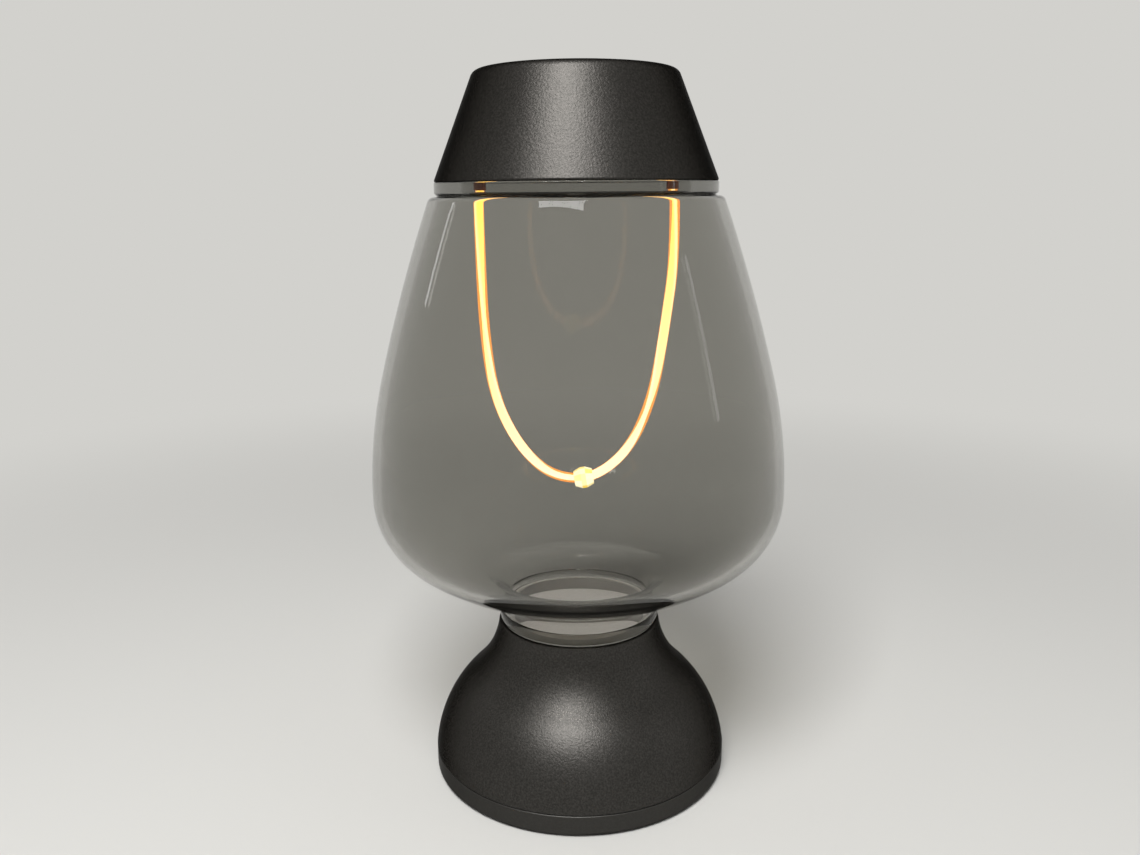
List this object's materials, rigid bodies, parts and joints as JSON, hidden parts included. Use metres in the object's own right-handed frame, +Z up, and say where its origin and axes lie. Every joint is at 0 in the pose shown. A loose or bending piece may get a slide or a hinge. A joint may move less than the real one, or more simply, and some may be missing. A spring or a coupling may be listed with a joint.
{
  "type": "night light",
  "caption": "Cordless table night light: a glowing soft filament hangs in a smoked glass globe between a conical cap with a push button and a domed, weighted base.",
  "frame": {"origin": "centre of the foot ring's underside, on the table", "axes": "+Z up along the lamp's axis, -Y to the front with the filaments hanging in the XZ plane, +Y to the charging socket at the back"},
  "size_m": [0.1, 0.1, 0.1709],
  "materials": {
    "charcoal_paint": "satin, fine metallic fleck",
    "band_paint": "satin",
    "button_plastic": "satin",
    "black_plastic": "matte",
    "pale_plastic": "satin",
    "silicone": "matte",
    "ballast_iron": "raw",
    "screw_steel": "zinc plated",
    "smoked_glass": "clear gloss",
    "cell_foil": "satin foil",
    "foam": "matte",
    "board_green": "solder mask",
    "ferrite": "matte",
    "socket_steel": "satin",
    "copper": "satin",
    "lead_red": "satin",
    "lead_black": "satin",
    "phosphor_silicone": "translucent, lit",
    "cut_glass": "clear gloss"
  },
  "bodies": {
    "base": {"base_shell": "charcoal_paint", "base_pan": "band_paint", "foot_ring": "silicone", "ballast": "ballast_iron", "ballast_screw": "screw_steel", "base_screws": "screw_steel", "neck_disc": "pale_plastic", "neck_seal": "silicone", "globe": "smoked_glass"},
    "cap": {"cap_shell": "charcoal_paint", "cap_floor": "black_plastic", "cap_gasket": "silicone", "cap_screws": "screw_steel", "battery": "cell_foil", "battery_pad": "foam", "battery_leads": "lead_red", "board": "board_green", "board_screws": "screw_steel", "driver_chip": "black_plastic", "boost_coil": "ferrite", "switch_body": "black_plastic", "usb_shell": "socket_steel", "usb_tongue": "black_plastic", "filament_ends": "copper", "lead_left": "lead_red", "lead_right": "lead_black", "filament_left": "phosphor_silicone", "filament_right": "phosphor_silicone", "bead": "cut_glass"},
    "button": {"push_button": "button_plastic", "switch_plunger": "pale_plastic"}
  },
  "joints": [
    {"name": "cap_lift", "type": "slide", "parent": "base", "child": "cap", "axis": [0, 0, 1], "range_m": [0, 0.085]},
    {"name": "button_press", "type": "slide", "parent": "cap", "child": "button", "axis": [0, 0, -1], "range_m": [0, 0.0008], "stiffness_N_per_m": 1500}
  ]
}
